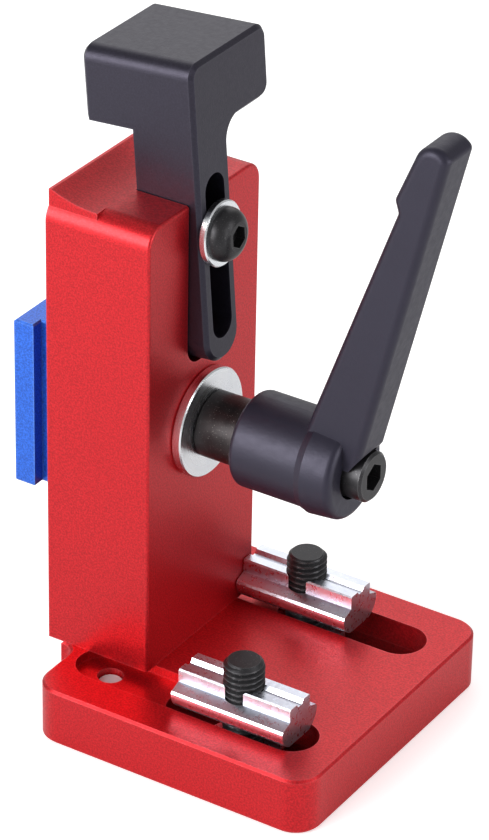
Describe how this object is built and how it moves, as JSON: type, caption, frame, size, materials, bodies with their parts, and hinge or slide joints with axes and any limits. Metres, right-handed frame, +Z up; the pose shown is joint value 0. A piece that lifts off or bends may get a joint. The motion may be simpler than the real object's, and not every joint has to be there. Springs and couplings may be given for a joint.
{
  "type": "t-track fence bracket with drop stop",
  "caption": "Sliding fence bracket: an upright on a slotted foot with T-nut fence clamps, a height-adjustable drop stop and a lever-clamped slider that rides in a T-track.",
  "frame": {"origin": "plate underside, on the plane through the upright's middle and the clamp axis, directly under the upright's front face", "axes": "+Z up, +X out of the front face along the clamp axis towards the lever, +Y to the side the stop's head overhangs"},
  "size_m": [0.087, 0.0662, 0.1352],
  "materials": {
    "red_anodised": "fine bead-blasted red anodising",
    "black_anodised": "fine bead-blasted black anodising",
    "blue_anodised": "extruded, satin blue anodising",
    "zinc_plate": "bright blue-white zinc plate",
    "bright_pin": "bright ground steel",
    "black_oxide": "black oxide, lightly oiled",
    "turned_black": "turned, black oxide",
    "spring_wire": "plain drawn wire",
    "lever_coat": "fine-textured black powder coat on die-cast zinc"
  },
  "bodies": {
    "frame": {"base_plate": "red_anodised", "slot_pins": "bright_pin", "block_screws": "black_oxide", "upright_block": "red_anodised", "clamp_washer": "zinc_plate"},
    "drop_stop": {"stop_slide": "black_anodised"},
    "stop_washer_body": {"stop_washer": "zinc_plate"},
    "stop_screw_body": {"stop_screw": "black_oxide"},
    "front_carriage": {"front_under_washer": "zinc_plate"},
    "front_screw_body": {"front_t_screw": "black_oxide"},
    "front_nut_body": {"front_t_nut": "zinc_plate"},
    "rear_carriage": {"rear_under_washer": "zinc_plate"},
    "rear_screw_body": {"rear_t_screw": "black_oxide"},
    "rear_nut_body": {"rear_t_nut": "zinc_plate"},
    "clamp_core": {"clamp_stud": "zinc_plate", "lever_insert": "turned_black", "lever_screw": "black_oxide", "lever_spring": "spring_wire"},
    "lever": {"lever_handle": "lever_coat"},
    "slider": {"track_slider": "blue_anodised"}
  },
  "joints": [
    {"name": "stop_travel", "type": "slide", "parent": "frame", "child": "drop_stop", "axis": [-0.0785, 0, 0.9969], "range_m": [0, 0.0181]},
    {"name": "stop_washer_out", "type": "slide", "parent": "frame", "child": "stop_washer_body", "axis": [0.9969, 0, 0.0785], "range_m": [0, 0.002]},
    {"name": "stop_screw_turn", "type": "hinge", "parent": "stop_washer_body", "child": "stop_screw_body", "pos_m": [0.00259, 0, 0.10051], "axis": [0.9969, 0, 0.0785], "range_deg": [0, 722]},
    {"name": "front_clamp_travel", "type": "slide", "parent": "frame", "child": "front_carriage", "axis": [1, 0, 0], "range_m": [-0.0109, 0.0107]},
    {"name": "front_screw_turn", "type": "hinge", "parent": "front_carriage", "child": "front_screw_body", "pos_m": [0.0236, -0.02105, 0.01], "axis": [0, 0, -1], "range_deg": [0, 722]},
    {"name": "front_nut_rise", "type": "slide", "parent": "front_carriage", "child": "front_nut_body", "axis": [0, 0, 1], "range_m": [0, 0.0025]},
    {"name": "rear_clamp_travel", "type": "slide", "parent": "frame", "child": "rear_carriage", "axis": [1, 0, 0], "range_m": [0, 0.0216]},
    {"name": "rear_screw_turn", "type": "hinge", "parent": "rear_carriage", "child": "rear_screw_body", "pos_m": [0.0127, 0.01875, 0.01], "axis": [0, 0, -1], "range_deg": [0, 722]},
    {"name": "rear_nut_rise", "type": "slide", "parent": "rear_carriage", "child": "rear_nut_body", "axis": [0, 0, 1], "range_m": [0, 0.0025]},
    {"name": "clamp_turn", "type": "hinge", "parent": "frame", "child": "clamp_core", "pos_m": [0, 0, 0.0595], "axis": [1, 0, 0], "range_deg": [-120, 120]},
    {"name": "lever_lift", "type": "slide", "parent": "clamp_core", "child": "lever", "axis": [1, 0, 0], "range_m": [0, 0.004], "stiffness_N_per_m": 1500, "springref_m": -0.003, "deforming": ["lever_spring"]},
    {"name": "slider_draw", "type": "slide", "parent": "frame", "child": "slider", "axis": [-1, 0, 0], "range_m": [-0.00045, 0.00045]}
  ],
  "couplings": [
    {"joint": "stop_screw_turn", "follows": "stop_washer_out", "rad_per_m": 6283.2},
    {"joint": "front_screw_turn", "follows": "front_nut_rise", "rad_per_m": 5026.5},
    {"joint": "rear_screw_turn", "follows": "rear_nut_rise", "rad_per_m": 5026.5},
    {"joint": "slider_draw", "follows": "clamp_turn", "m_per_rad": 0.00019894}
  ]
}
